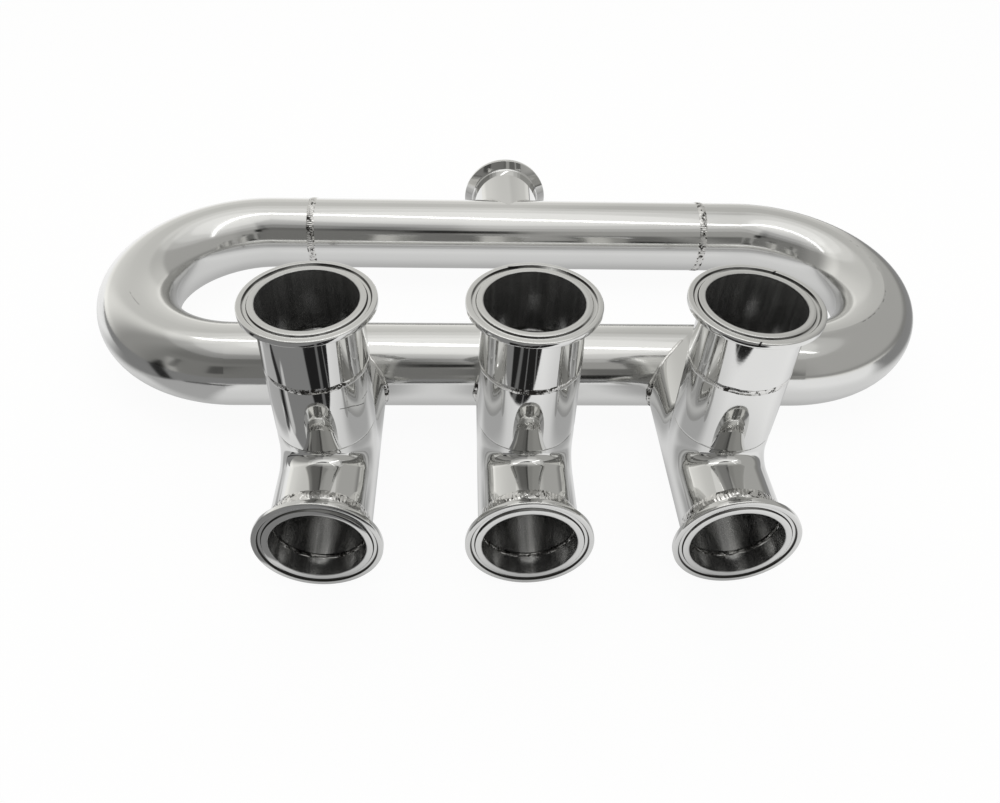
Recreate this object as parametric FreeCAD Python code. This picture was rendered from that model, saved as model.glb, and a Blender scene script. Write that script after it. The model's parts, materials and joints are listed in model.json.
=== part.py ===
import FreeCAD, Part
import math
import os
from FreeCAD import Placement, Rotation, Vector

# Welded stainless pipe manifold, in millimetres.
# X runs along the manifold, -Y points out of the forward ports, +Z up the risers.
# The origin is on the surface that the clamp flanges rest on, in the middle of the footprint.

# Tube that every piece is made from
tube_od = 50.8
tube_wall = 1.65

# Ring: two straight runs joined by two return bends
bend_radius = 76.2
bend_leg = 28.5
run_overhang = 39.5
tee_opening_land = 0.8
rear_opening_gap = 0.3

# Three pulled tees on the front run
tee_pitch = 104.0
riser_offset = 78.0
forward_arm = 60.4
collar_neck = 0.4
collar_fillet = 3.6
collar_land = 0.3
riser_dressing = 1.2

# Ports, measured to the clamp faces
upper_face_height = 104.5
rear_face_offset = 59.5
upper_ferrule_length = 34.5
forward_ferrule_length = 11.8

# Clamp flange: inner land, gasket groove, outer land and tapered back
inner_land = 3.15
groove_width = 2.5
outer_land = 2.6
groove_depth = 0.9
groove_outer_slope = 0.35
groove_inner_slope = 0.7
rim_thickness = 2.85
rim_chamfer = 0.5
back_angle = 20.0
neck_radius = 2.0

# Weld beads
weld_gap = 1.0
weld_width = 5.5
weld_crown = 0.6
root_width = 3.0
root_crown = 0.15
saddle_bead_radius = 2.3
saddle_bead_sink = 0.8
saddle_bead_span = 156.0

# Worked out from the sizes above
tube_r = tube_od / 2
bore_r = tube_r - tube_wall
collar_r = tube_r - collar_neck
tee_opening_r = bore_r - tee_opening_land
rear_opening_r = bore_r + rear_opening_gap
flange_r = bore_r + inner_land + groove_width + outer_land
half_gap = weld_gap / 2
forward_face_offset = riser_offset + forward_arm
ring_z = flange_r
ring_y = (forward_face_offset - rear_face_offset) / 2
front_y = ring_y - bend_radius
back_y = ring_y + bend_radius
tee_names = ["left", "middle", "right"]
tee_middle = (len(tee_names) - 1) / 2
tee_x = {name: (i - tee_middle) * tee_pitch for i, name in enumerate(tee_names)}
run_half = tee_middle * tee_pitch + run_overhang
bend_x = run_half + bend_leg
riser_y = front_y - riser_offset
forward_face_y = front_y - forward_face_offset
forward_weld_y = forward_face_y + forward_ferrule_length
rear_face_y = back_y + rear_face_offset
collar_top_z = ring_z + tube_r + collar_fillet + collar_land
upper_face_z = ring_z + upper_face_height
upper_weld_z = upper_face_z - upper_ferrule_length

right = Vector(1, 0, 0)
rearward = Vector(0, 1, 0)
forward = Vector(0, -1, 0)
up = Vector(0, 0, 1)


def cylinder(radius, start, direction, length):
    return Part.makeCylinder(radius, length, start, direction)


def stand(shape, place, axis):
    """Moves a shape made along +Z from the origin to a place, with its +Z turned to an axis."""
    moved = shape.copy()
    moved.Placement = Placement(place, Rotation(up, axis))
    return moved


def turned(outline):
    """Turns a closed outline of (radius, height) points about Z; a third point between two others
    with the mark "arc" before it makes a round stretch."""
    edges = []
    last = outline[0]
    i = 1
    while i < len(outline):
        if outline[i] == "arc":
            through, end = outline[i + 1], outline[i + 2]
            points = [Vector(r, 0, z) for r, z in (last, through, end)]
            edges.append(Part.Arc(*points).toShape())
            i += 3
        else:
            end = outline[i]
            edges.append(Part.makeLine(Vector(last[0], 0, last[1]), Vector(end[0], 0, end[1])))
            i += 1
        last = end
    face = Part.Face(Part.Wire(edges))
    return face.revolve(Vector(0, 0, 0), up, 360)


def straight_tube(start, direction, length):
    outside = cylinder(tube_r, start, direction, length)
    return outside.cut(cylinder(bore_r, start, direction, length))


def ferrule(length):
    """Clamp ferrule with its face at z = 0 and its tube running down to z = -length."""
    groove_in = bore_r + inner_land
    groove_out = groove_in + groove_width
    back_rise = math.tan(math.radians(back_angle))
    neck_z = -rim_thickness - (flange_r - tube_r) * back_rise
    # the round between the tapered back and the tube touches both of them
    tangent = neck_radius * math.tan(math.radians(90 - back_angle) / 2)
    cone_end = (tube_r + tangent * math.cos(math.radians(back_angle)),
                neck_z + tangent * math.sin(math.radians(back_angle)))
    tube_start = (tube_r, neck_z - tangent)
    centre = (tube_r + neck_radius, neck_z - tangent)
    middle = math.radians(180 - (90 - back_angle) / 2)
    neck_middle = (centre[0] + neck_radius * math.cos(middle), centre[1] + neck_radius * math.sin(middle))
    outline = [
        (bore_r, 0),
        (groove_in, 0),
        (groove_in + groove_inner_slope, -groove_depth),
        (groove_out - groove_outer_slope, -groove_depth),
        (groove_out, 0),
        (flange_r - rim_chamfer, 0),
        (flange_r, -rim_chamfer),
        (flange_r, -rim_thickness),
        cone_end,
        "arc", neck_middle, tube_start,
        (tube_r, -length),
        (bore_r, -length),
        (bore_r, 0),
    ]
    return turned(outline)


def butt_weld():
    """Ring of weld metal centred on z = 0: it fills the root gap, stands proud outside as a crown
    and shows inside the bore as a low root bead."""
    half_width = weld_width / 2
    half_root = root_width / 2
    outline = [
        (tube_r, -half_gap),
        (tube_r, -half_width),
        "arc", (tube_r + weld_crown, 0), (tube_r, half_width),
        (tube_r, half_gap),
        (bore_r, half_gap),
        (bore_r, half_root),
        "arc", (bore_r - root_crown, 0), (bore_r, -half_root),
        (bore_r, -half_gap),
        (tube_r, -half_gap),
    ]
    return turned(outline)


def saddle_weld(x, run_y, out):
    """Beads on both sides of a tube that points out from a run, along the curve where they meet.
    Each stops short of the crown and the underside, where the joint is dressed flush."""
    reach = tube_r - saddle_bead_sink
    middle = Vector(x, run_y, ring_z)
    run = cylinder(tube_r, middle - right * tube_od, right, 2 * tube_od)
    branch = cylinder(tube_r, middle, out, 2 * tube_od)
    end_angle = math.radians(saddle_bead_span / 2)
    beads = []
    for side in (-1, 1):
        across = Vector(side * reach, out.y * reach, 0)
        curve = Part.Ellipse(middle + across, middle + up * reach, middle)
        path = Part.Wire(Part.ArcOfEllipse(curve, -end_angle, end_angle).toShape())
        edge = path.Edges[0]
        start = edge.valueAt(edge.FirstParameter)
        heading = edge.tangentAt(edge.FirstParameter)
        section = Part.Wire(Part.Circle(start, heading, saddle_bead_radius).toShape())
        beads.append(path.makePipeShell([section], True, False).cut(run).cut(branch))
    return Part.makeCompound(beads)


def run_tube(run_y, openings):
    """Straight run between its two butt welds, with a hole of its own radius for each branch."""
    length = 2 * (run_half - half_gap)
    tube = straight_tube(Vector(-length / 2, run_y, ring_z), right, length)
    for x, out, radius in openings:
        tube = tube.cut(cylinder(radius, Vector(x, run_y, ring_z), out, 2 * tube_r))
    return tube


def return_bend(side):
    """Half-turn bend with a straight leg at each end; side is -1 on the left and 1 on the right."""
    bend_start = Vector(side * bend_x, front_y, ring_z)
    bend_centre = Vector(side * bend_x, ring_y, ring_z)
    outside = Part.Wire(Part.Circle(bend_start, right, tube_r).toShape())
    inside = Part.Wire(Part.Circle(bend_start, right, bore_r).toShape())
    section = Part.Face(outside).cut(Part.Face(inside)).Faces[0]
    inward = right * (-side * (bend_leg - half_gap))
    front_leg = section.extrude(inward)
    back_leg = section.translated(rearward * (2 * bend_radius)).extrude(inward)
    bend = section.revolve(bend_centre, up, side * 180)
    return bend.fuse([front_leg, back_leg]).removeSplitter()


def tee(x):
    """Pulled tee: coped to the front run, with a necked collar drawn up out of its body."""
    run_point = Vector(x, front_y, ring_z)
    body_length = front_y - forward_weld_y - half_gap
    collar_base = Vector(x, riser_y, ring_z)
    collar_height = collar_top_z - ring_z
    outside = cylinder(tube_r, run_point, forward, body_length)
    outside = outside.fuse(cylinder(collar_r, collar_base, up, collar_height)).removeSplitter()
    crotch = []
    for edge in outside.Edges:
        middle = edge.valueAt((edge.FirstParameter + edge.LastParameter) / 2)
        around = math.hypot(middle.x - x, middle.y - riser_y)
        if abs(around - collar_r) < collar_neck / 2 and middle.z < ring_z + tube_r + collar_land / 2:
            crotch.append(edge)
    outside = outside.makeFillet(collar_fillet, crotch)
    run = cylinder(tube_r, run_point - right * tube_od, right, 2 * tube_od)
    outside = outside.cut(run)
    bore = cylinder(bore_r, run_point, forward, body_length)
    collar_bore = cylinder(bore_r, collar_base, up, collar_height)
    return outside.cut(bore.fuse(collar_bore))


def riser(x):
    """Tube from the tee's collar up to the ferrule's weld, dressed down to the collar at its foot."""
    height = upper_weld_z - half_gap - collar_top_z
    outline = [
        (bore_r, 0),
        (collar_r, 0),
        (tube_r, riser_dressing),
        (tube_r, height),
        (bore_r, height),
        (bore_r, 0),
    ]
    return stand(turned(outline), Vector(x, riser_y, collar_top_z), up)


def rear_port():
    """Long ferrule coped straight on to the back run."""
    shape = stand(ferrule(rear_face_offset), Vector(0, rear_face_y, ring_z), rearward)
    run = cylinder(tube_r, Vector(-tube_od, back_y, ring_z), right, 2 * tube_od)
    return shape.cut(run)


def build():
    nodes = {
        "front_run_tube": run_tube(front_y, [(x, forward, tee_opening_r) for x in tee_x.values()]),
        "back_run_tube": run_tube(back_y, [(0, rearward, rear_opening_r)]),
        "left_return_bend": return_bend(-1),
        "right_return_bend": return_bend(1),
        "rear_ferrule": rear_port(),
        "rear_saddle_weld": saddle_weld(0, back_y, rearward),
    }
    for side_name, side in (("left", -1), ("right", 1)):
        for run_name, run_y in (("front", front_y), ("back", back_y)):
            place = Vector(side * run_half, run_y, ring_z)
            nodes[f"{side_name}_{run_name}_butt_weld"] = stand(butt_weld(), place, right)
    for name, x in tee_x.items():
        upper_face = Vector(x, riser_y, upper_face_z)
        forward_face = Vector(x, forward_face_y, ring_z)
        upper_ferrule = ferrule(upper_ferrule_length - half_gap)
        forward_ferrule = ferrule(forward_ferrule_length - half_gap)
        nodes[f"{name}_tee"] = tee(x)
        nodes[f"{name}_saddle_weld"] = saddle_weld(x, front_y, forward)
        nodes[f"{name}_riser"] = riser(x)
        nodes[f"{name}_upper_weld"] = stand(butt_weld(), Vector(x, riser_y, upper_weld_z), up)
        nodes[f"{name}_upper_ferrule"] = stand(upper_ferrule, upper_face, up)
        nodes[f"{name}_forward_weld"] = stand(butt_weld(), Vector(x, forward_weld_y, ring_z), forward)
        nodes[f"{name}_forward_ferrule"] = stand(forward_ferrule, forward_face, forward)
    return nodes


def main():
    os.makedirs("parts", exist_ok=True)
    for name, shape in build().items():
        for solid in shape.Solids:
            if not solid.isValid() or solid.Volume <= 0:
                raise ValueError(f"{name} is not a sound solid")
        solids = shape.Solids
        result = solids[0] if len(solids) == 1 else Part.makeCompound(solids)
        result.exportStep(f"parts/{name}.step")
        print(name, len(solids), round(result.Volume, 1))


main()
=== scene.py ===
import json
import math

import bpy
from mathutils import Matrix, Vector, noise


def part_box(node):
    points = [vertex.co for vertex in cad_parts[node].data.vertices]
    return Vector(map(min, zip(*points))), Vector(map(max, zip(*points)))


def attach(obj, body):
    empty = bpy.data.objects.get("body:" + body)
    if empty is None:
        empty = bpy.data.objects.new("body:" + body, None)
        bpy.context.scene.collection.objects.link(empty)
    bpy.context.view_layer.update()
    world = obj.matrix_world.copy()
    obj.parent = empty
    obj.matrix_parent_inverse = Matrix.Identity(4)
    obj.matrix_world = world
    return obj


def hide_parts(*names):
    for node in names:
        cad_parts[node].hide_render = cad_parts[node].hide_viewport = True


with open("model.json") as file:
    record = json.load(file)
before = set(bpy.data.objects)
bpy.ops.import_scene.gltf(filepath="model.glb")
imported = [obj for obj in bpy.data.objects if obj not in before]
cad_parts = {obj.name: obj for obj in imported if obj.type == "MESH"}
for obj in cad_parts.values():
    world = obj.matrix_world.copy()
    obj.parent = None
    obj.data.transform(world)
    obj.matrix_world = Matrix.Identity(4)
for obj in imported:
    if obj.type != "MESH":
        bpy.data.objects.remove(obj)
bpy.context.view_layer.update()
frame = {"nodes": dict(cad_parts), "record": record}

# Pipe manifold of polished stainless tube, in metres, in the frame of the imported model
nodes = frame["nodes"]
bpy.context.scene.view_settings.view_transform = "Standard"


# Shader wiring: a Wire is a socket that takes Python's own arithmetic
class Wire:
    def __init__(self, recipe, socket):
        self.recipe, self.socket = recipe, socket

    def math(self, kind, *values):
        return self.recipe.add("ShaderNodeMath", {"operation": kind}, dict(enumerate(values)))

    def __add__(self, other):
        return self.math("ADD", self, other)

    def __sub__(self, other):
        return self.math("SUBTRACT", self, other)

    def __rsub__(self, other):
        return self.math("SUBTRACT", other, self)

    def __mul__(self, other):
        return self.math("MULTIPLY", self, other)

    def __truediv__(self, other):
        return self.math("DIVIDE", self, other)

    def __rtruediv__(self, other):
        return self.math("DIVIDE", other, self)

    def __neg__(self):
        return self.math("SUBTRACT", 0, self)

    __radd__ = __add__
    __rmul__ = __mul__

    def smallest(self, other):
        return self.math("MINIMUM", self, other)

    def largest(self, other):
        return self.math("MAXIMUM", self, other)

    def magnitude(self):
        return self.math("ABSOLUTE", self)

    def root(self):
        return self.math("SQRT", self)

    def between(self, low, high):
        # 0 below low, 1 above high, eased in the middle
        return self.recipe.add("ShaderNodeMapRange", {"interpolation_type": "SMOOTHSTEP"},
                               {"Value": self, "From Min": low, "From Max": high})

    def window(self, low, lowFull, highFull, high):
        # 1 between the inner two limits, 0 outside the outer two
        return self.between(low, lowFull) * (1 - self.between(highFull, high))

    def near(self, centre, full, none):
        # 1 within a distance of a value, 0 further off
        return 1 - (self - centre).magnitude().between(full, none)


class Recipe:
    def __init__(self, tree):
        self.tree = tree
        tree.nodes.clear()

    def add(self, kind, settings=None, feeds=None, out=0):
        node = self.tree.nodes.new(kind)
        for key, value in (settings or {}).items():
            setattr(node, key, value)
        for key, value in (feeds or {}).items():
            if isinstance(value, Wire):
                self.tree.links.new(value.socket, node.inputs[key])
            else:
                node.inputs[key].default_value = value
        return Wire(self, node.outputs[out]) if node.outputs else None

    def parts(self, vector):
        split = self.add("ShaderNodeSeparateXYZ", feeds={0: vector})
        return [Wire(self, socket) for socket in split.socket.node.outputs]

    def noise(self, place, scale, detail, roughness=0.5):
        return self.add("ShaderNodeTexNoise", feeds={
            "Vector": place, "Scale": scale, "Detail": detail, "Roughness": roughness})

    def past(self, x, y, start, end):
        # metres to the right of a line on the floor, looking from its start to its end
        length = math.hypot(end[0] - start[0], end[1] - start[1])
        alongX, alongY = (end[0] - start[0]) / length, (end[1] - start[1]) / length
        return (x - start[0]) * alongY - (y - start[1]) * alongX

    def stroke(self, x, y, start, end, half):
        # 1 on a thin line between two points, 0 away from it
        length = math.hypot(end[0] - start[0], end[1] - start[1])
        along = ((x - start[0]) * (end[0] - start[0]) + (y - start[1]) * (end[1] - start[1])) / length
        outside = ((along - length / 2).magnitude() - length / 2).largest(0)
        across = self.past(x, y, start, end)
        return 1 - (across * across + outside * outside).root().between(half * 0.4, half)

    def mixed(self, factor, first, second, blend="MIX"):
        # two colours, or two values as greys
        node = self.tree.nodes.new("ShaderNodeMix")
        node.data_type, node.blend_type = "RGBA", blend
        for socket, value in zip([node.inputs[0], node.inputs[6], node.inputs[7]], [factor, first, second]):
            if isinstance(value, Wire):
                self.tree.links.new(value.socket, socket)
            else:
                socket.default_value = value
        return Wire(self, node.outputs[2])


def newMaterial(name):
    material = bpy.data.materials.new(name)
    material.use_nodes = True
    return material, Recipe(material.node_tree)


def opaque(colour, share=1):
    return (*[part * share for part in colour], 1)


# Camera
cameraSpec = dict(
    focal=804.52, frameWidth=1000, yaw=3.5, pitch=-42.76, roll=2.46,      # pixels, and degrees
    place=(-0.03261, -0.41762, 0.35351), near=0.01, far=20, sensor=36,    # metres, the sensor in mm
)


def placeCamera(spec):
    yaw, pitch, roll = (math.radians(spec[key]) for key in ("yaw", "pitch", "roll"))
    ahead = Vector((math.sin(yaw) * math.cos(pitch), math.cos(yaw) * math.cos(pitch), math.sin(pitch)))
    level = Vector((math.cos(yaw), -math.sin(yaw), 0))
    upright = level.cross(ahead)
    right = math.cos(roll) * level + math.sin(roll) * upright
    up = -math.sin(roll) * level + math.cos(roll) * upright
    lens = bpy.data.cameras.new("camera")
    lens.sensor_width = spec["sensor"]
    lens.lens = spec["focal"] / spec["frameWidth"] * spec["sensor"]
    lens.clip_start, lens.clip_end = spec["near"], spec["far"]
    camera = bpy.data.objects.new("camera", lens)
    bpy.context.scene.collection.objects.link(camera)
    turn = Matrix((right, up, -ahead)).transposed()
    camera.matrix_world = Matrix.Translation(spec["place"]) @ turn.to_4x4()
    bpy.context.scene.camera = camera


placeCamera(cameraSpec)
print("camera placed")


# Studio: what the polished metal sees round the table, 1 being the white of the backdrop
studioSpec = dict(
    ceiling=0.60, sheet=0.98, backdrop=1.05, wallLow=0.84, wallHigh=0.70, leftGlow=0.14, rightDim=0.14,
    right=0.47, rightLow=0.27, left=0.35, behind=0.20, behindRight=0.04, panel=1.0,
    tint=(1.0, 0.992, 0.955, 1),
    # where each part starts and is complete, in degrees up (rise), to the right (turn) and to the left (back)
    wallRise=(4, 11), fadeRise=(10, 40), ceilingRise=(52, 80), rightDimTurn=(5, 14), leftGlowBack=(44, 56),
    rightTurn=(29, 37), rightRise=(4, 13), leftBack=(57, 88), behindBack=(92, 118),
    behindRightTurn=(-180, -140), panelTurn=(78, 112, 151, 158), panelRise=(0, 6),
    # two dim zones behind the camera: how dim, then to the left or right, and up
    dimLeft=(0.15, (100, 125), (34, 40)), dimRight=(0.15, (140, 160), (6, 12)),
    # a paler strip on the left: turn, lean, half width inside and out, rise
    strip=dict(light=0.9, turn=-130, lean=0.25, full=2, none=5, rise=(-12, -6, 24, 32)),
    # dark stands by turn and half width
    stands={-157: 6, 179: 3, 159: 4, 168: 5, -128: 3}, standCore=0.6, standDark=0.6,
    standRise=(8, 12, 27, 32),
    # the darkest things: the camera, its hood and the foot of its stand, each by turn, half width inside and
    # out, and rise, and a gap on the left that narrows upwards
    darkest=0.93, camera=(180, 4, 6, (32, 34.5, 40.5, 43)), foot=(169.5, 4, 6, (0.5, 2, 10, 14)),
    hood=(-171, 2.5, 4.5, (36, 40, 54, 58)), hoodDark=0.5,
    gap=dict(turn=-119, half=5.5, narrowing=0.3, soft=1.5, rise=(12, 17)),
)


def paintStudio(spec):
    world = bpy.data.worlds.new("studio")
    bpy.context.scene.world = world
    world.use_nodes = True
    r = Recipe(world.node_tree)
    across, away, high = r.parts(r.add("ShaderNodeTexCoord", out=0))
    # the turn is 0 straight past the object and 90 to its right
    turn = across.math("ARCTAN2", across, away) * (180 / math.pi)
    back = -turn
    rise = high.math("ARCSINE", high) * (180 / math.pi)
    # back wall, bright at its foot and fading upwards
    room = spec["backdrop"] - (spec["backdrop"] - spec["wallLow"]) * rise.between(*spec["wallRise"])
    room = room - (spec["wallLow"] - spec["wallHigh"]) * rise.between(*spec["fadeRise"])
    room = room * (1 - spec["rightDim"] * turn.between(*spec["rightDimTurn"]))
    room = room + spec["leftGlow"] * back.between(*spec["leftGlowBack"])
    # darker right wall, left wall, and the dim room behind the camera
    right = spec["rightLow"] + (spec["right"] - spec["rightLow"]) * rise.between(*spec["rightRise"])
    room = room + (right - room) * turn.between(*spec["rightTurn"])
    room = room + (spec["left"] - room) * back.between(*spec["leftBack"])
    behind = spec["behind"] + spec["behindRight"] * turn.between(*spec["behindRightTurn"])
    room = room + (behind - room) * back.between(*spec["behindBack"])
    # low bright panel on the right, behind the camera
    panel = turn.window(*spec["panelTurn"]) * (1 - rise.between(*spec["panelRise"]))
    room = room + (spec["panel"] - room) * panel
    strip = spec["strip"]
    pale = (turn - strip["lean"] * rise).near(strip["turn"], strip["full"], strip["none"])
    room = room * (1 + strip["light"] * pale * rise.window(*strip["rise"]))
    for towards, (dim, turns, rises) in ((back, spec["dimLeft"]), (turn, spec["dimRight"])):
        room = room * (1 - dim * towards.between(*turns) * rise.between(*rises))
    for place, half in spec["stands"].items():
        stand = turn.near(place, half * spec["standCore"], half) * rise.window(*spec["standRise"])
        room = room * (1 - spec["standDark"] * stand)
    room = room + (spec["ceiling"] - room) * rise.between(*spec["ceilingRise"])
    # the darkest things
    gap = spec["gap"]
    half = gap["half"] - gap["narrowing"] * rise
    dark = turn.near(gap["turn"], half - gap["soft"], half + gap["soft"]) * (1 - rise.between(*gap["rise"]))
    strengths = {"camera": 1, "foot": 1, "hood": spec["hoodDark"]}
    for key, strength in strengths.items():
        place, full, none, rises = spec[key]
        towards = turn.magnitude() if key == "camera" else turn     # the camera reaches across 180 degrees
        dark = dark.largest(strength * towards.near(place, full, none) * rise.window(*rises))
    room = room * (1 - spec["darkest"] * dark)
    rays = r.add("ShaderNodeLightPath", out=0)
    warm = r.mixed(1.0, room, spec["tint"], "MULTIPLY")
    seen = r.mixed(rays, warm, (1, 1, 1, 1))
    background = r.add("ShaderNodeBackground", feeds={"Color": seen, "Strength": 1.0})
    r.add("ShaderNodeOutputWorld", feeds={"Surface": background})


paintStudio(studioSpec)

# Table: a white sheet in front of the backdrop. Its edges and the dark room past them show only in the metal.
tableSpec = dict(
    size=12, below=0.0012, paper=(0.9, 0.9, 0.9), glow=0.9, brightness=1.04, backdropY=(0.16, 0.24),
    # shade by the object: how dark, and the distances where it starts to fade and is gone
    ringEnd=0.172, ringY=0.03945, ringHalf=0.0762, pitch=0.104, armY=-0.130, armHalf=0.027,
    wideShade=(0.22, 0.03, 0.13), ringShade=(0.36, 0.004, 0.042), armShade=(0.40, 0.015, 0.050),
    # edges as lines with the sheet on their left
    leftEdge=[(-1.0, 0.04), (-0.33, 0.01)], leftCorner=[(-0.34, 0.10), (-0.21, -0.16)],
    leftSoft=(-0.04, 0.05), leftCornerSoft=(-0.01, 0.03), leftLift=0.1, leftLiftY=(-0.3, 0.2),
    frontEdges=[[(-0.27, -0.105), (-0.19, -0.162)], [(-0.19, -0.162), (-0.10, -0.207)],
                [(-0.10, -0.209), (0.100, -0.291)]],
    frontRight=[(0.115, -0.25), (0.18, -1.0)], frontLeft=[(-0.092, -0.215), (-0.130, -0.270)],
    frontSoft=0.004, frontRightSoft=0.05, frontLift=0.05,
    rightEdge=[(0.30, 0.05), (0.48, 0.80)], rightCorner=[(0.28, -0.04), (1.0, -0.25)],
    rightSoft=(-0.01, 0.06), rightCornerSoft=(-0.02, 0.04),
    # the black gap past the front edge, with paler streaks by x and half width that lean with y
    gapDark=0.93, gapEnd=(0.07, 0.10),
    streaks={-0.1305: 0.010, -0.0965: 0.004, -0.0525: 0.005}, streakCore=0.3, streakLean=0.25, streakPale=0.6,
    # by the left fittings: a grey patch, a pale line, a dark one, and a wedge under the gap in the room
    sideLevel=0.46, sideX=(-0.280, -0.265, -0.200, -0.185), sideY=(-0.145, -0.135, -0.065, -0.045),
    paleLine=[(-0.236, -0.182), (-0.192, -0.170)], paleHalf=0.011, paleLevel=0.62,
    darkLines=[[(-0.264, -0.136), (-0.238, -0.158)], [(-0.238, -0.158), (-0.203, -0.149)]], darkHalf=0.012,
    wedge=[(-0.27, -0.095), (-0.80, -0.37)], wedgeHalf=(0.006, 0.014), wedgeSpread=(0.1, 0.14),
    wedgeX=(-0.29, -0.265), lineDark=0.9,
)


def layTable(spec, levels):
    bpy.ops.object.select_all(action="DESELECT")
    bpy.ops.mesh.primitive_plane_add(size=spec["size"], location=(0, 0, -spec["below"]))
    table = bpy.context.object
    table.name = "table"
    material, r = newMaterial("pale table")
    paths = r.add("ShaderNodeLightPath").socket.node.outputs
    seenByCamera, seenInMetal, seenInGlass = (
        Wire(r, paths[name]) for name in ("Is Camera Ray", "Is Glossy Ray", "Is Transmission Ray"))
    x, y, _ = r.parts(r.add("ShaderNodeTexCoord", out=3))
    level = levels["sheet"] + (levels["backdrop"] - levels["sheet"]) * y.between(*spec["backdropY"])
    # the object keeps the light from the table close to its tubes
    pastEnd = (x.magnitude() - spec["ringEnd"]).largest(0)
    ahead = y - spec["ringY"]
    ring = ((pastEnd * pastEnd + ahead * ahead).root() - spec["ringHalf"]).magnitude()
    column = x - spec["pitch"] * x.math("ROUND", (x / spec["pitch"]).smallest(1).largest(-1))
    pastArm = ((y - spec["armY"]).magnitude() - spec["armHalf"]).largest(0)
    arm = (column * column + pastArm * pastArm).root()
    for key, distance in (("wideShade", ring.smallest(arm)), ("ringShade", ring), ("armShade", arm)):
        dark, full, none = spec[key]
        level = level * (1 - dark * (1 - distance.between(full, none)))
    # left of the sheet
    left = r.past(x, y, *spec["leftEdge"]).between(*spec["leftSoft"])
    left = left * r.past(x, y, *spec["leftCorner"]).between(*spec["leftCornerSoft"])
    level = level + (levels["behind"] + spec["leftLift"] * y.between(*spec["leftLiftY"]) - level) * left
    # past the slanted front edge: a black gap, then the dim room
    beyond = r.past(x, y, *spec["frontEdges"][0])
    for edge in spec["frontEdges"][1:]:
        beyond = beyond.largest(r.past(x, y, *edge))
    rightOf = -r.past(x, y, *spec["frontRight"])
    soft = spec["frontSoft"]
    front = beyond.between(0, soft) * (1 - rightOf.between(0, spec["frontRightSoft"]))
    level = level + (levels["behind"] + spec["frontLift"] - level) * front
    gap = front * (1 - beyond.between(*spec["gapEnd"]))
    gap = gap * (-r.past(x, y, *spec["frontLeft"])).between(-soft, soft)
    for place, half in spec["streaks"].items():
        streak = (x + spec["streakLean"] * y).near(place, half * spec["streakCore"], half)
        gap = gap * (1 - spec["streakPale"] * streak)
    level = level * (1 - spec["gapDark"] * gap)
    # right of the sheet
    right = r.past(x, y, *spec["rightEdge"]).between(*spec["rightSoft"])
    right = right * (1 - r.past(x, y, *spec["rightCorner"]).between(*spec["rightCornerSoft"]))
    level = level + (levels["rightLow"] - level) * right
    # by the left fittings
    side = x.window(*spec["sideX"]) * y.window(*spec["sideY"])
    level = level + (spec["sideLevel"] - level) * side
    level = level + (spec["paleLevel"] - level) * r.stroke(x, y, *spec["paleLine"], spec["paleHalf"])
    away = spec["wedge"][0][0] - x
    limits = [half + spread * away for half, spread in zip(spec["wedgeHalf"], spec["wedgeSpread"])]
    dark = r.past(x, y, *spec["wedge"]).near(0, *limits) * (1 - x.between(*spec["wedgeX"]))
    for line in spec["darkLines"]:
        dark = dark.largest(r.stroke(x, y, *line, spec["darkHalf"]))
    level = level * (1 - spec["lineDark"] * dark)
    white = r.mixed(seenByCamera, level, (1, 1, 1, 1))
    glow = r.add("ShaderNodeEmission", feeds={"Color": white, "Strength": spec["brightness"]})
    paper = r.add("ShaderNodeBsdfDiffuse", feeds={"Color": opaque(spec["paper"])})
    share = seenByCamera * spec["glow"] + seenInMetal + seenInGlass
    surface = r.add("ShaderNodeMixShader", feeds={0: share, 1: paper, 2: glow})
    r.add("ShaderNodeOutputMaterial", feeds={"Surface": surface})
    table.data.materials.append(material)


layTable(tableSpec, studioSpec)
print("studio set up")


# Lamps: a soft round panel over the object, brightest in its middle, and a thin tube lamp across it
lampSpec = dict(
    height=0.95, rounds={0.84: 0.18, 1.36: 0.17, 1.90: 0.14}, roundLift=0.04,   # level and lift by width
    tubeLength=1.4, tubeWidth=0.045, tubeLevel=2.4, tubePlace=(0.03, 0.0), tubeTurn=-24,
)


def hangLamps(spec):
    # each lamp's level is its radiance, which its power gives with its area
    def lamp(name, shape, size, level, place, lift, turn=0):
        light = bpy.data.lights.new(name, "AREA")
        light.shape = shape
        light.size, light.size_y = size
        light.energy = level * math.pi * size[0] * size[1]
        lampObject = bpy.data.objects.new(name, light)
        bpy.context.scene.collection.objects.link(lampObject)
        lampObject.location = (*place, spec["height"] + lift)
        lampObject.rotation_euler = (0, 0, math.radians(turn))
    for width, level in spec["rounds"].items():
        # a disc has pi / 4 of its square's area
        lamp(f"round lamp {width:.2f}", "ELLIPSE", (width, width), level * math.pi / 4,
             (0, 0), width * spec["roundLift"])
    lamp("tube lamp", "RECTANGLE", (spec["tubeLength"], spec["tubeWidth"]), spec["tubeLevel"],
         spec["tubePlace"], 0, spec["tubeTurn"])


hangLamps(lampSpec)
print("lamps hung")


# Sizes shared by the pieces: four that no box shows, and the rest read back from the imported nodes
hiddenSizes = dict(wall=0.00165, jointGap=0.0010, bendLeg=0.0285, bendRadius=0.0762)
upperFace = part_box("middle_upper_ferrule")
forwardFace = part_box("middle_forward_ferrule")
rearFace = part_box("rear_ferrule")
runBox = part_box("front_run_tube")
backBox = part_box("back_run_tube")
tube = (runBox[1][2] - runBox[0][2]) / 2
halfGap = hiddenSizes["jointGap"] / 2


def halfway(box, axis):
    return (box[0][axis] + box[1][axis]) / 2


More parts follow.
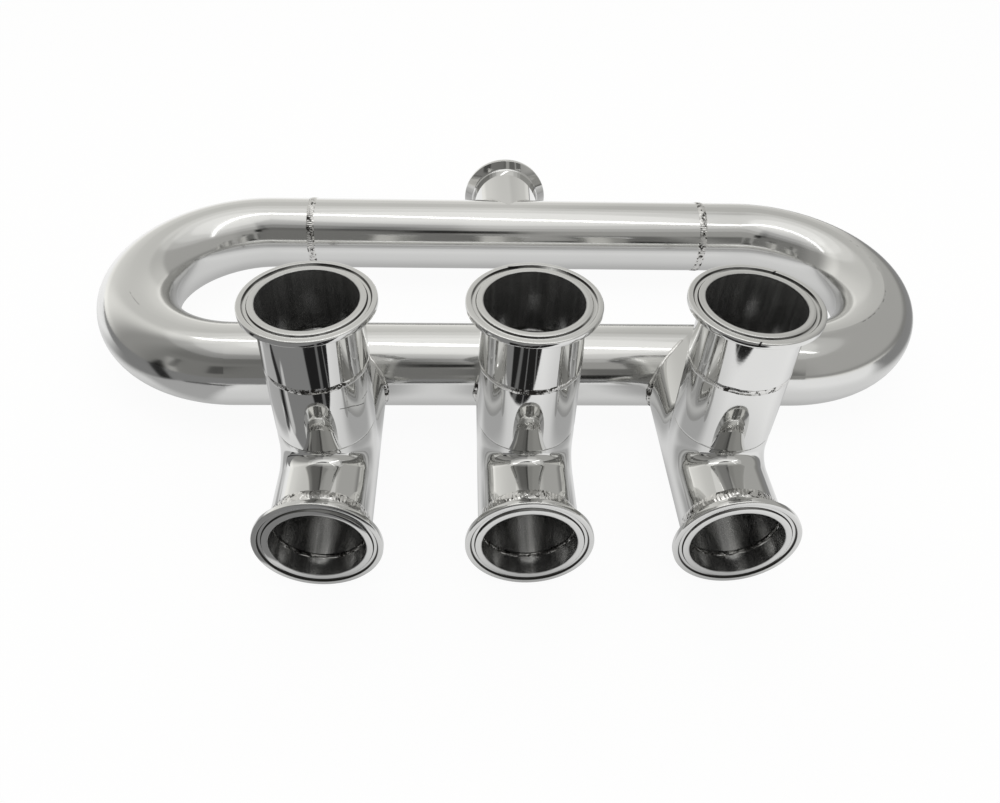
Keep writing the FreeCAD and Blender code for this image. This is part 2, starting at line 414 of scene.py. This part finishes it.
sizes = dict(
    **hiddenSizes, tube=tube, bore=tube - hiddenSizes["wall"], flange=(upperFace[1][0] - upperFace[0][0]) / 2,
    axisZ=halfway(runBox, 2), frontY=halfway(runBox, 1), backY=halfway(backBox, 1),
    riserY=halfway(upperFace, 1), upperZ=upperFace[1][2], forwardY=forwardFace[0][1], rearY=rearFace[1][1],
    columns={name: halfway(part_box(name + "_riser"), 0) for name in ("left", "middle", "right")},
    runHalf=runBox[1][0] + halfGap, bendX=runBox[1][0] + hiddenSizes["bendLeg"],
    ringY=(runBox[0][1] + backBox[1][1]) / 2,
    collarZ=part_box("middle_riser")[0][2], teeY=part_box("middle_tee")[0][1],
)
pitch = sizes["columns"]["right"]
upperLength = sizes["upperZ"] - upperFace[0][2] + halfGap            # face to the middle of its weld
forwardLength = forwardFace[1][1] - sizes["forwardY"] + halfGap


# Finishes: polished steel, and weld metal
finishSpec = dict(
    # one of these colours darkens the clamp grooves with grime and painted shade
    steel=(0.71, 0.71, 0.70), bore=(0.62, 0.62, 0.615), dirt=(0.09, 0.09, 0.085), weld=(0.68, 0.675, 0.66),
    oxide=(0.05, 0.047, 0.043), crownMark=(0.16, 0.16, 0.155), scratch=(0.10, 0.10, 0.095),
    nick=(0.03, 0.03, 0.03),
    # a colour's dark share in its clouds and in the streaks of the bores
    cloudShade=0.96, streakShade=0.75,
    tubeShine=0.085, bendShine=0.13, teeShine=0.04, faceShine=0.11, boreShine=0.17, boreMetal=0.90,
    cloudRough=(0.75, 0.5), beltRough=0.08, boreRough=0.12, stretch=0.02,
    cloudScale=28, beltScale=700, wornScale=260, streakScale=260, fineScale=900, patchScale=45,
    wornFrom=(0.40, 0.55), scratchFrom=(0.36, 0.5), streakFrom=(0.35, 0.7), patchFrom=(0.28, 0.58),
    bendFrom=(-0.02, 0.03), beltBump=(0.16, 0.00004), fineBump=0.05, streakBump=0.25, portBump=0.00003,
    # where a bore starts past its radius, the riser's over the body's axis, and a clamp face from its plane
    boreEdge=(0.0003, 0.0007), riserFloor=(0.008, 0.014), faceDepth=(-0.0014, -0.0013),
    # the groove walls' grime and painted shade: radius, full and none, outside and inside, and the inner
    # wall's share
    grimeOut=(0.0291, 0.00025, 0.0005), grimeIn=(0.02715, 0.00015, 0.0004), grimeInShare=0.85,
    # handling marks as thin lines: on the left riser in x and z, on the upper clamp faces in x and y, and on
    # the crowns of the bends by side, metres outwards, first and last degree, and strength
    riserScratches=[[(-0.0915, 0.0884), (-0.0864, 0.0868)], [(-0.0864, 0.0868), (-0.0816, 0.0831)],
                    [(-0.0822, 0.0864), (-0.0800, 0.0876)]],
    faceNicks=[[(-0.0110, -0.0873), (-0.0066, -0.0866)], [(0.0969, -0.1460), (0.0978, -0.1450)],
               [(0.1184, -0.0901), (0.1200, -0.0892)]],
    crownMarks=[(1, 0.0002, 17, 25, 0.6), (1, 0.0001, -6, 11, 0.3), (1, 0.0012, -57, -20, 0.6),
                (-1, 0.0016, -42, -28, 0.45)],
    waver=0.0012, scratchHalf=0.00028, nickHalf=0.0006, crownHalf=(0.00012, 0.00042), crownFade=2,
)
weldSpec = dict(
    blotchScale=330, speckScale=1300, areaScale=75, speckShare=0.25, areaShare=0.25,
    dressed=0.25, dressedBack=(-0.0235, -0.0155), dressedTop=(0.004, 0.014), sootSoft=0.05,
    shine=0.10, sootRough=0.35, speckRough=0.12, bump=0.6,
)


def portRadius(r, x, y, z):
    # distance from the axis of the nearest tee body and of the nearest riser, and height over the body's
    # axis; the rear port lines up with the middle body
    across = x - pitch * x.math("ROUND", x / pitch)
    level, ahead = z - sizes["axisZ"], y - sizes["riserY"]
    return (across * across + level * level).root(), (across * across + ahead * ahead).root(), level


def metalSurface(r, colour, metal, rough, bump):
    surface = r.add("ShaderNodeBsdfPrincipled", feeds={
        "Base Color": colour, "Metallic": metal, "Roughness": rough, "Normal": bump})
    r.add("ShaderNodeOutputMaterial", feeds={"Surface": surface})


def ringFinish(spec, r, place, cloud, colour, rough, shine):
    # belt marks run along the tube and round its bends
    x, y, z = r.parts(place)
    pastEnd = (x.magnitude() - sizes["bendX"]).largest(0)
    ahead = y - sizes["ringY"]
    offset = (pastEnd * pastEnd + ahead * ahead).root() - sizes["bendRadius"]
    along = r.add("ShaderNodeCombineXYZ", feeds={0: offset, 1: (x + y) * spec["stretch"], 2: z})
    lines = r.noise(along, spec["beltScale"], 3, 0.65)
    onBend = pastEnd.between(*spec["bendFrom"])
    rough = rough + (spec["bendShine"] - shine) * onBend + spec["beltRough"] * (lines - 0.5)
    strength, depth = spec["beltBump"]
    bump = r.add("ShaderNodeBump", feeds={"Strength": strength, "Distance": depth, "Height": lines})
    # marks along the crowns of the bends
    angle = ahead.math("ARCTAN2", ahead, pastEnd) * (180 / math.pi)
    wavy = offset + spec["waver"] * (cloud - 0.5)
    worn = r.noise(place, spec["wornScale"], 1).between(*spec["wornFrom"])
    worn = worn * (z - sizes["axisZ"]).between(0, 0.001)
    for side, out, first, last, strength in spec["crownMarks"]:
        half = (last - first) / 2
        mark = wavy.near(out, *spec["crownHalf"]) * (side * x).between(0, 0.001) * worn
        mark = mark * angle.near((first + last) / 2, half - spec["crownFade"], half)
        colour = r.mixed(strength * mark, colour, opaque(spec["crownMark"]))
    metalSurface(r, colour, 1.0, rough, bump)


def portFinish(spec, r, place, cloud, colour, rough, kind):
    x, y, z = r.parts(place)
    body, riser, level = portRadius(r, x, y, z)
    edge = [sizes["bore"] + more for more in spec["boreEdge"]]
    inRiser = (1 - riser.between(*edge)) * level.between(*spec["riserFloor"])
    inside = (1 - body.between(*edge)).largest(inRiser)
    # drawing marks along each bore
    upright = r.add("ShaderNodeCombineXYZ", feeds={0: x, 1: y, 2: z * spec["stretch"]})
    lengthways = r.add("ShaderNodeCombineXYZ", feeds={0: x, 1: y * spec["stretch"], 2: z})
    streaks = r.noise(r.mixed(inRiser, lengthways, upright), spec["streakScale"], 3, 0.6)
    clear = streaks.between(*spec["streakFrom"])
    inner = r.mixed(clear, opaque(spec["bore"], spec["streakShade"]), opaque(spec["bore"]))
    colour = r.mixed(inside, colour, inner)
    rough = rough + (spec["boreShine"] + spec["boreRough"] * (streaks - 0.5) - rough) * inside
    fine = r.noise(place, spec["fineScale"], 2)
    bump = r.add("ShaderNodeBump", feeds={
        "Strength": spec["fineBump"] + spec["streakBump"] * inside, "Distance": spec["portBump"],
        "Height": streaks * inside + fine * (1 - inside)})
    if kind == "tee":
        wavy = z + spec["waver"] * (cloud - 0.5)
        # on the front of the riser only
        worn = fine.between(*spec["scratchFrom"]) * (1 - (y - sizes["riserY"]).between(-0.004, 0))
        for start, end in spec["riserScratches"]:
            scratch = r.stroke(x, wavy, start, end, spec["scratchHalf"])
            colour = r.mixed(scratch * worn, colour, opaque(spec["scratch"]))
    if kind == "ferrule":
        # turned clamp faces are a little duller, and both walls of the gasket groove are darkened with grime
        # and painted shade
        top = (z - sizes["upperZ"]).between(*spec["faceDepth"])
        front = (sizes["forwardY"] - y).between(*spec["faceDepth"])
        ends = front.largest((y - sizes["rearY"]).between(*spec["faceDepth"]))
        radius = body + (riser - body) * top
        grimeAndShade = radius.near(*spec["grimeOut"]).largest(spec["grimeInShare"] * radius.near(*spec["grimeIn"]))
        patch = r.noise(place, spec["patchScale"], 2).between(*spec["patchFrom"])
        colour = r.mixed(grimeAndShade * (top * patch + ends).smallest(1), colour, opaque(spec["dirt"]))
        for start, end in spec["faceNicks"]:
            nick = r.stroke(x, y, start, end, spec["nickHalf"])
            colour = r.mixed(top * nick, colour, opaque(spec["nick"]))
        rough = rough + (spec["faceShine"] - rough) * top.largest(ends)
    metalSurface(r, colour, 1 - (1 - spec["boreMetal"]) * inside, rough, bump)


def polishedSteel(spec, name, shine, kind):
    material, r = newMaterial(name)
    place = r.add("ShaderNodeTexCoord", out=3)
    cloud = r.noise(place, spec["cloudScale"], 3)
    colour = r.mixed(cloud, opaque(spec["steel"], spec["cloudShade"]), opaque(spec["steel"]))
    least, more = spec["cloudRough"]
    rough = shine * (least + more * cloud)
    if kind == "ring":
        ringFinish(spec, r, place, cloud, colour, rough, shine)
    else:
        portFinish(spec, r, place, cloud, colour, rough, kind)
    return material


def weldSteel(spec, name, sootLow, lump, clean=None):
    # bright weld metal with black oxide in its pits, except where the bead was dressed
    material, r = newMaterial(name)
    place = r.add("ShaderNodeTexCoord", out=3)
    _, y, z = r.parts(place)
    blotch = r.noise(place, spec["blotchScale"], 4, 0.65)
    speck = r.noise(place, spec["speckScale"], 2)
    area = r.noise(place, spec["areaScale"], 1)
    pits = blotch * (1 - spec["speckShare"]) + speck * spec["speckShare"] + spec["areaShare"] * (area - 0.5)
    if clean == "back":
        pits = pits - spec["dressed"] * (y - sizes["riserY"]).between(*spec["dressedBack"])
    if clean == "top":
        pits = pits - spec["dressed"] * (z - sizes["axisZ"]).between(*spec["dressedTop"])
    soot = pits.between(sootLow, sootLow + spec["sootSoft"])
    colour = r.mixed(soot, opaque(finishSpec["weld"]), opaque(finishSpec["oxide"]))
    rough = spec["shine"] + spec["sootRough"] * soot + spec["speckRough"] * speck
    bump = r.add("ShaderNodeBump", feeds={"Strength": spec["bump"], "Distance": lump, "Height": blotch})
    metalSurface(r, colour, 1.0, rough, bump)
    return material


tubeSteel = polishedSteel(finishSpec, "polished tube", finishSpec["tubeShine"], "ring")
teeSteel = polishedSteel(finishSpec, "mirror polished tee", finishSpec["teeShine"], "tee")
ferruleSteel = polishedSteel(finishSpec, "turned ferrule", finishSpec["teeShine"], "ferrule")
weldMetal = {
    "forward": weldSteel(weldSpec, "weld metal", 0.56, 0.0002),
    "upper": weldSteel(weldSpec, "dressed ring weld", 0.49, 0.0001, clean="back"),
    "butt": weldSteel(weldSpec, "dressed butt weld", 0.53, 0.0002),
    "saddle": weldSteel(weldSpec, "saddle weld", 0.50, 0.0002, clean="top"),
}
slotFinish = {
    "satin_tube": tubeSteel, "polished_tee": teeSteel, "ferrule": ferruleSteel, "weld": weldMetal["forward"],
}
for part in frame["record"]["subparts"]:
    node = nodes[part["node"]]
    node.data.materials.clear()
    node.data.materials.append(slotFinish[part["material_slot"]])
print("finishes made")


# Modelling helpers
closeBy = 1e-6      # points nearer than this are one


def editMode(piece, kind="VERT"):
    bpy.ops.object.select_all(action="DESELECT")
    piece.select_set(True)
    bpy.context.view_layer.objects.active = piece
    bpy.ops.object.mode_set(mode="EDIT")
    bpy.ops.mesh.select_mode(type=kind)


def pickPoints(piece, chosen):
    bpy.ops.mesh.select_all(action="DESELECT")
    bpy.ops.object.mode_set(mode="OBJECT")
    for point in piece.data.vertices:
        point.select = chosen(point.co)
    bpy.ops.object.mode_set(mode="EDIT")


def turnedPiece(name, outline, rounds, steps):
    # a closed outline of (radius, height) points, its corners rounded, turned about Z
    bpy.ops.object.select_all(action="DESELECT")
    bpy.ops.mesh.primitive_circle_add(vertices=len(outline), radius=0.01)
    piece = bpy.context.object
    piece.name = name
    for point, (radius, height) in zip(piece.data.vertices, outline):
        point.co = (radius, 0, height)
    editMode(piece)
    for corner, size, segments in rounds:
        radius, height = outline[corner]
        pickPoints(piece, lambda co: math.hypot(co.x - radius, co.z - height) < closeBy)
        bpy.ops.mesh.bevel(offset=size, offset_type="OFFSET", segments=segments, affect="VERTICES")
    bpy.ops.mesh.select_all(action="SELECT")
    bpy.ops.mesh.spin(steps=steps, angle=2 * math.pi, center=(0, 0, 0), axis=(0, 0, 1))
    bpy.ops.mesh.select_all(action="SELECT")
    bpy.ops.mesh.remove_doubles(threshold=closeBy)
    bpy.ops.mesh.normals_make_consistent(inside=False)
    bpy.ops.object.mode_set(mode="OBJECT")
    return piece


def placed(master, name, place, axis, roll=0.0):
    # a copy with its own mesh, its +Z turned to an axis
    piece = master.copy()
    piece.data = master.data.copy()
    piece.name = name
    bpy.context.scene.collection.objects.link(piece)
    turn = Vector(axis).to_track_quat("Z", "Y").to_matrix().to_4x4()
    piece.data.transform(Matrix.Translation(place) @ turn @ Matrix.Rotation(roll, 4, "Z"))
    return piece


def finished(piece, node, material, angle=35):
    bpy.ops.object.select_all(action="DESELECT")
    piece.select_set(True)
    bpy.context.view_layer.objects.active = piece
    bpy.ops.object.shade_smooth_by_angle(angle=math.radians(angle))
    piece.data.materials.clear()
    piece.data.materials.append(material)
    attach(piece, "root")
    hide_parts(node)


def drop(piece):
    bpy.data.objects.remove(piece, do_unlink=True)


# Clamp ferrules: flat face with a gasket groove, tapered back and a short tube
ferruleSpec = dict(
    innerLand=0.00315, grooveWidth=0.0025, grooveDepth=0.0011, outerSlope=0.00022, innerSlope=0.00045,
    rim=0.00285, backAngle=20, neck=0.0020, rimRound=0.0007, fineRound=0.00025, landRound=0.0003,
    floorRound=0.0002, tailEnd=0.001, steps=208,
)


def makeFerrule(spec, name, length):
    bore, tubeR, flange = sizes["bore"], sizes["tube"], sizes["flange"]
    grooveIn = bore + spec["innerLand"]
    grooveOut = grooveIn + spec["grooveWidth"]
    neckZ = -spec["rim"] - (flange - tubeR) * math.tan(math.radians(spec["backAngle"]))
    outline = [
        (bore, 0), (grooveIn, 0), (grooveIn + spec["innerSlope"], -spec["grooveDepth"]),
        (grooveOut - spec["outerSlope"], -spec["grooveDepth"]), (grooveOut, 0),
        (flange, 0), (flange, -spec["rim"]), (tubeR, neckZ), (tubeR, -length), (bore, -length),
    ]
    neckCut = spec["neck"] * math.tan(math.radians(90 - spec["backAngle"]) / 2)
    # corner, size and segments
    rounds = [(0, spec["fineRound"], 3), (1, spec["landRound"], 3), (2, spec["floorRound"], 2),
              (3, spec["floorRound"], 2), (4, spec["fineRound"], 3), (5, spec["rimRound"], 5),
              (6, spec["landRound"], 3), (7, neckCut, 8)]
    return turnedPiece(name, outline, rounds, spec["steps"])


longFerrule = makeFerrule(ferruleSpec, "long ferrule", upperLength - halfGap)
shortFerrule = makeFerrule(ferruleSpec, "short ferrule", forwardLength - halfGap)
for name, x in sizes["columns"].items():
    top = placed(longFerrule, name + "UpperFerrule", (x, sizes["riserY"], sizes["upperZ"]), (0, 0, 1))
    finished(top, name + "_upper_ferrule", ferruleSteel)
    front = placed(shortFerrule, name + "ForwardFerrule", (x, sizes["forwardY"], sizes["axisZ"]), (0, -1, 0))
    finished(front, name + "_forward_ferrule", ferruleSteel)
rearFerrule = makeFerrule(ferruleSpec, "rear ferrule", sizes["rearY"] - sizes["backY"])
rear = placed(rearFerrule, "rearFerrule", (0, sizes["rearY"], sizes["axisZ"]), (0, 1, 0))
for point in rear.data.vertices:
    # the tail is coped to the back run
    if point.co.y < sizes["backY"] + ferruleSpec["tailEnd"]:
        point.co.y = sizes["backY"] + math.sqrt(max(tube ** 2 - (point.co.z - sizes["axisZ"]) ** 2, 0))
finished(rear, "rear_ferrule", ferruleSteel)
for master in (longFerrule, shortFerrule, rearFerrule):
    drop(master)
print("ferrules made")


# Pulled tees: a coped body with a collar drawn up out of it and a crotch that widens towards the flanks
teeSpec = dict(
    crotchOut=0.0056, crotchUp=0.0036, flankOut=0.0125, flankUp=0.0115, spread=3.2, lean=0.00028,
    leanLength=0.007, leanOut=0.001, leanUp=0.008,      # the lean is only on the collar, by place
    leastCollar=0.0003, columns=128, bodyRows=14, blendRows=18, collarRows=5,
    # hand polishing leaves ripples about this share of the radius up and this far out, each with its reach
    ripple=0.00006, rippleScale=170, rippleUp=(0.85, 0.012), rippleOut=(0.003, 0.008), seed=3, seedStep=5,
)


def makeTee(spec, name):
    # modelled about the riser's axis, at the height of the body's; each sheet is a grid bent to its place
    radius, half = sizes["tube"], math.pi / 2
    front, collar = sizes["teeY"] - sizes["riserY"], sizes["collarZ"] - sizes["axisZ"]
    run = sizes["frontY"] - sizes["riserY"]
    rows = spec["bodyRows"] + spec["blendRows"] + spec["collarRows"]

    def sheet(across, down, shape):
        bpy.ops.object.select_all(action="DESELECT")
        bpy.ops.mesh.primitive_grid_add(x_subdivisions=across, y_subdivisions=down, size=2)
        piece = bpy.context.object
        for point in piece.data.vertices:
            u, v = (point.co.x + 1) / 2, (point.co.y + 1) / 2
            point.co = shape(u, round(v * down))
        return piece

    def reach(sine):
        grow = abs(sine) ** spec["spread"]
        return (spec["crotchOut"] + (spec["flankOut"] - spec["crotchOut"]) * grow,
                spec["crotchUp"] + (spec["flankUp"] - spec["crotchUp"]) * grow)

    def side(sign):
        def shape(u, row):
            angle = (2 * u - 1) * half
            sine, height = math.sin(angle), radius * math.cos(angle)
            out, rise = reach(sine)
            rise = min(rise, collar - height - spec["leastCollar"])
            end = -front if sign < 0 else run - radius * abs(sine)
            if row <= spec["bodyRows"]:
                t = row / spec["bodyRows"]
                return Vector((radius * sine, sign * (end + (height + out - end) * t), height))
            if row <= spec["bodyRows"] + spec["blendRows"]:
                bend = (row - spec["bodyRows"]) / spec["blendRows"] * half
                away = height + out * (1 - math.sin(bend))
                return Vector((radius * sine, sign * away, height + rise * (1 - math.cos(bend))))
            t = (row - spec["bodyRows"] - spec["blendRows"]) / spec["collarRows"]
            return Vector((radius * sine, sign * height, height + rise + (collar - height - rise) * t))
        return sheet(spec["columns"], rows, shape)

    def belly(u, row):
        # the lower half of the body, with the same rows as the upper sheets have at the flank
        angle = half + 2 * half * u
        out = reach(1)[0]
        cope = run - radius * abs(math.sin(angle))
        if row <= spec["bodyRows"]:
            y = front + (-out - front) * row / spec["bodyRows"]
        else:
            y = out + (cope - out) * (row - spec["bodyRows"] - 1) / spec["bodyRows"]
        return Vector((radius * math.sin(angle), y, radius * math.cos(angle)))

    def web(sign):
        # the flat flank between the two sweeps of the crotch
        def shape(u, row):
            bend = row / spec["blendRows"] * half
            out, rise = reach(1)
            away = out * (1 - math.sin(bend))
            return Vector((sign * radius, (2 * u - 1) * away, rise * (1 - math.cos(bend))))
        return sheet(1, spec["blendRows"], shape)

    sheets = [side(-1), side(1), sheet(spec["columns"], 2 * spec["bodyRows"] + 1, belly), web(-1), web(1)]
    bpy.ops.object.select_all(action="DESELECT")
    for piece in sheets:
        piece.select_set(True)
    bpy.context.view_layer.objects.active = sheets[0]
    bpy.ops.object.join()
    piece = bpy.context.object
    piece.name = name
    editMode(piece)
    bpy.ops.mesh.select_all(action="SELECT")
    bpy.ops.mesh.remove_doubles(threshold=2 * closeBy)
    bpy.ops.mesh.normals_make_consistent(inside=False)
    bpy.ops.object.mode_set(mode="OBJECT")
    # the collar leans in to its joint, and the crotch is a little uneven
    level, levelReach = radius * spec["rippleUp"][0], spec["rippleUp"][1]
    ring, ringReach = radius + spec["rippleOut"][0], spec["rippleOut"][1]
    normals = [point.normal.copy() for point in piece.data.vertices]
    for point, normal in zip(piece.data.vertices, normals):
        height = point.co.z
        neck = min(max((height - collar) / spec["leanLength"] + 1, 0), 1)
        if math.hypot(point.co.x, point.co.y) < radius + spec["leanOut"] and height > spec["leanUp"]:
            scale = 1 - spec["lean"] / radius * neck * neck
            point.co.x *= scale
            point.co.y *= scale
        away = math.hypot(point.co.x, point.co.y)
        crotch = max(1 - abs(height - level) / levelReach, 0) * max(1 - abs(away - ring) / ringReach, 0)
        wave = noise.noise(point.co * spec["rippleScale"] + Vector((spec["seed"], 0, 0)))
        point.co += normal * (spec["ripple"] * crotch * wave)
    wall = piece.modifiers.new("wall", "SOLIDIFY")
    wall.thickness, wall.offset, wall.use_even_offset = sizes["wall"], -1, True
    bpy.ops.object.modifier_apply(modifier="wall")
    return piece


for i, (name, x) in enumerate(sizes["columns"].items()):
    body = makeTee({**teeSpec, "seed": teeSpec["seed"] + i * teeSpec["seedStep"]}, name + "Tee")
    body.data.transform(Matrix.Translation((x, sizes["riserY"], sizes["axisZ"])))
    finished(body, name + "_tee", teeSteel, angle=40)
print("tees made")


# Weld rings: a rippled crown outside and a low root bead inside the bore
ringSpec = dict(
    points=13, rootPoints=7, steps=540, sink=0.0004, rootSink=0.0003,       # edges sink into the tube's wall
    rootWidth=0.0030, rootCrown=0.00022, rootLump=0.00013, rootWander=0.0006,
    # ripples that bow by an angle, drift and swell; lumps of two sizes over them; and a wandering line
    bow=2.4, drift=2.5, driftScale=90, swell=(0.6, 0.8), swellScale=60, edgeShare=0.25,
    lumpScale=260, fineScale=620, fineShare=0.6, wanderScale=130,
    rootLumps=2.2, rootLumpScale=220, rootWanderScale=120,
    noiseRadius=0.03, firstRoll=1.3, rollStep=2.1, seed=7,
)
ringKinds = {
    "upper": dict(width=0.0032, crown=0.00020, rootCrown=0.00007, rootLump=0.00003,
                  ripples=150, ripple=0.00004, wander=0.0006, lump=0.00010),
    "forward": dict(width=0.0054, crown=0.00030, ripples=90, ripple=0.00008, wander=0.0007, lump=0.00028),
    "butt": dict(width=0.0054, crown=0.00030, ripples=110, ripple=0.00016, wander=0.0005, lump=0.00016),
}


def makeWeldRing(spec, name, seed):
    tubeR, bore = sizes["tube"], sizes["bore"]
    outer = [(tubeR + spec["crown"] * (1 - t * t), t * spec["width"] / 2)
             for t in [2 * i / (spec["points"] - 1) - 1 for i in range(spec["points"])]]
    root = [(bore - spec["rootCrown"] * (1 - t * t), t * spec["rootWidth"] / 2)
            for t in [1 - 2 * i / (spec["rootPoints"] - 1) for i in range(spec["rootPoints"])]]
    half, rootHalf = spec["width"] / 2, spec["rootWidth"] / 2
    deep, shallow = tubeR - spec["sink"], bore + spec["rootSink"]
    outline = ([(deep, -halfGap), (deep, -half)] + outer
               + [(deep, half), (deep, halfGap), (shallow, halfGap), (shallow, rootHalf)]
               + root + [(shallow, -rootHalf), (shallow, -halfGap)])
    piece = turnedPiece(name, outline, [], spec["steps"])
    shift = Vector((seed * 3.1, seed * 1.7, seed))
    for point in piece.data.vertices:
        radius = math.hypot(point.co.x, point.co.y)
        around = math.atan2(point.co.y, point.co.x)
        level = Vector((math.cos(around), math.sin(around), 0)) * spec["noiseRadius"]
        spot = level + Vector((0, 0, point.co.z))
        if radius > tubeR - 10 * closeBy:
            t = point.co.z / half
            crest = max(1 - t * t, 0)
            drift = spec["drift"] * noise.noise(spot * spec["driftScale"] + shift)
            wave = math.sin(around * spec["ripples"] + spec["bow"] * t * t + drift)
            swell = spec["swell"][0] + spec["swell"][1] * noise.noise(spot * spec["swellScale"] + shift * 2)
            lumps = noise.noise(spot * spec["lumpScale"] + shift * 3)
            lumps += spec["fineShare"] * noise.noise(spot * spec["fineScale"] + shift * 5)
            size = spec["ripple"] * wave * swell + spec["lump"] * lumps
            radius += size * (spec["edgeShare"] + crest) / (1 + spec["edgeShare"])
            point.co.z += spec["wander"] * noise.noise(level * spec["wanderScale"] + shift * 4)
        elif radius < bore - 10 * closeBy:
            t = point.co.z / rootHalf
            lumps = 1 + spec["rootLumps"] * noise.noise(spot * spec["rootLumpScale"] + shift * 5)
            radius -= spec["rootLump"] * max(1 - t * t, 0) * lumps
            point.co.z += spec["rootWander"] * noise.noise(spot * spec["rootWanderScale"] + shift * 6)
        else:
            continue
        point.co.x, point.co.y = radius * math.cos(around), radius * math.sin(around)
    return piece


weldPlaces = []
for name, x in sizes["columns"].items():
    upper, forward = sizes["upperZ"] - upperLength, sizes["forwardY"] + forwardLength
    weldPlaces.append((name + "_upper_weld", "upper", (x, sizes["riserY"], upper), (0, 0, 1)))
    weldPlaces.append((name + "_forward_weld", "forward", (x, forward, sizes["axisZ"]), (0, -1, 0)))
for side, sign in (("left", -1), ("right", 1)):
    for run, y in (("front", sizes["frontY"]), ("back", sizes["backY"])):
        place = (sign * sizes["runHalf"], y, sizes["axisZ"])
        weldPlaces.append((f"{side}_{run}_butt_weld", "butt", place, (1, 0, 0)))
for kind, look in ringKinds.items():
    master = makeWeldRing({**ringSpec, **look}, kind + " ring", ringSpec["seed"] + len(kind))
    alike = [row for row in weldPlaces if row[1] == kind]
    for i, (node, _, place, axis) in enumerate(alike):
        words = node.split("_")
        name = words[0] + "".join(word.capitalize() for word in words[1:])
        ring = placed(master, name, place, axis, roll=ringSpec["firstRoll"] + ringSpec["rollStep"] * i)
        finished(ring, node, weldMetal[kind], angle=60)
    drop(master)
print("weld rings made")


# Saddle beads: lumpy near each side and dressed down towards the crown and the underside
saddleSpec = dict(
    thick=0.0023, sink=0.0008, inWall=0.0012, squeeze=0.15, span=156, steps=220, points=20,
    dressed=0.45, taper=0.04, endSize=0.15, lump=0.0005, rearLump=0.0003, lumpScale=330, seed=21,
)


def makeSaddle(spec, name, node, x, y, out):
    reach, half = sizes["tube"] - spec["sink"], math.radians(spec["span"] / 2)
    beads = []
    for side in (-1, 1):
        bpy.ops.object.select_all(action="DESELECT")
        bpy.ops.mesh.primitive_circle_add(vertices=spec["points"], radius=spec["thick"],
                                          location=(reach, 0, 0), rotation=(math.pi / 2, 0, 0))
        bead = bpy.context.object
        bpy.ops.object.transform_apply(location=True, rotation=True, scale=True)
        editMode(bead)
        bpy.ops.mesh.select_all(action="SELECT")
        bpy.ops.mesh.spin(steps=spec["steps"], angle=2 * half, center=(0, 0, 0), axis=(0, 0, 1))
        bpy.ops.object.mode_set(mode="OBJECT")
        # centre the arc on +X, which becomes the side of the joint
        middle = sum((point.co for point in bead.data.vertices), Vector()) / len(bead.data.vertices)
        bead.data.transform(Matrix.Rotation(-math.atan2(middle.y, middle.x), 4, "Z"))
        for point in bead.data.vertices:
            around = math.atan2(point.co.y, point.co.x)
            centre = Vector((math.cos(around), math.sin(around), 0)) * reach
            arm = point.co - centre
            level = min(abs(around) / half, 1)
            size = 1 - spec["dressed"] * level ** 0.8
            taper = math.sqrt(min((1 - level) / spec["taper"], 1))
            shift = Vector((spec["seed"] * side, x * 40, y * 30))
            lump = noise.noise(point.co * spec["lumpScale"] + shift)
            rough = spec["lump"] / spec["thick"] * (1 - level) ** 0.7 * lump
            point.co = centre + arm * (size * (spec["endSize"] + (1 - spec["endSize"]) * taper) + rough)
        # stand the arc up, stretch it to the saddle's slope and turn it out to its side
        bead.data.transform(Matrix.Rotation(math.pi / 2, 4, "X"))
        bead.data.transform(Matrix.Diagonal((math.sqrt(2), 1, 1, 1)))
        bead.data.transform(Matrix.Rotation(math.atan2(out, side), 4, "Z"))
        bead.data.transform(Matrix.Translation((x, y, sizes["axisZ"])))
        # the inner side is pressed back into the walls of the run and of the branch
        deep = sizes["tube"] - spec["inWall"]
        for point in bead.data.vertices:
            for axis, centreLine in ((1, y), (0, x)):
                offset, height = point.co[axis] - centreLine, point.co.z - sizes["axisZ"]
                far = math.hypot(offset, height)
                push = max((deep - spec["squeeze"] * (deep - far)) / far, 1)
                point.co[axis], point.co.z = centreLine + offset * push, sizes["axisZ"] + height * push
        editMode(bead, "EDGE")
        bpy.ops.mesh.select_all(action="DESELECT")
        bpy.ops.mesh.select_non_manifold()
        bpy.ops.mesh.edge_face_add()
        bpy.ops.mesh.select_all(action="SELECT")
        bpy.ops.mesh.normals_make_consistent(inside=False)
        bpy.ops.object.mode_set(mode="OBJECT")
        beads.append(bead)
    bpy.ops.object.select_all(action="DESELECT")
    for bead in beads:
        bead.select_set(True)
    bpy.context.view_layer.objects.active = beads[0]
    bpy.ops.object.join()
    piece = bpy.context.object
    piece.name = name
    finished(piece, node, weldMetal["saddle"], angle=60)


for name, x in sizes["columns"].items():
    makeSaddle(saddleSpec, name + "SaddleWeld", name + "_saddle_weld", x, sizes["frontY"], -1)
rearSpec = {**saddleSpec, "lump": saddleSpec["rearLump"]}
makeSaddle(rearSpec, "rearSaddleWeld", "rear_saddle_weld", 0, sizes["backY"], 1)
print("saddle beads made")
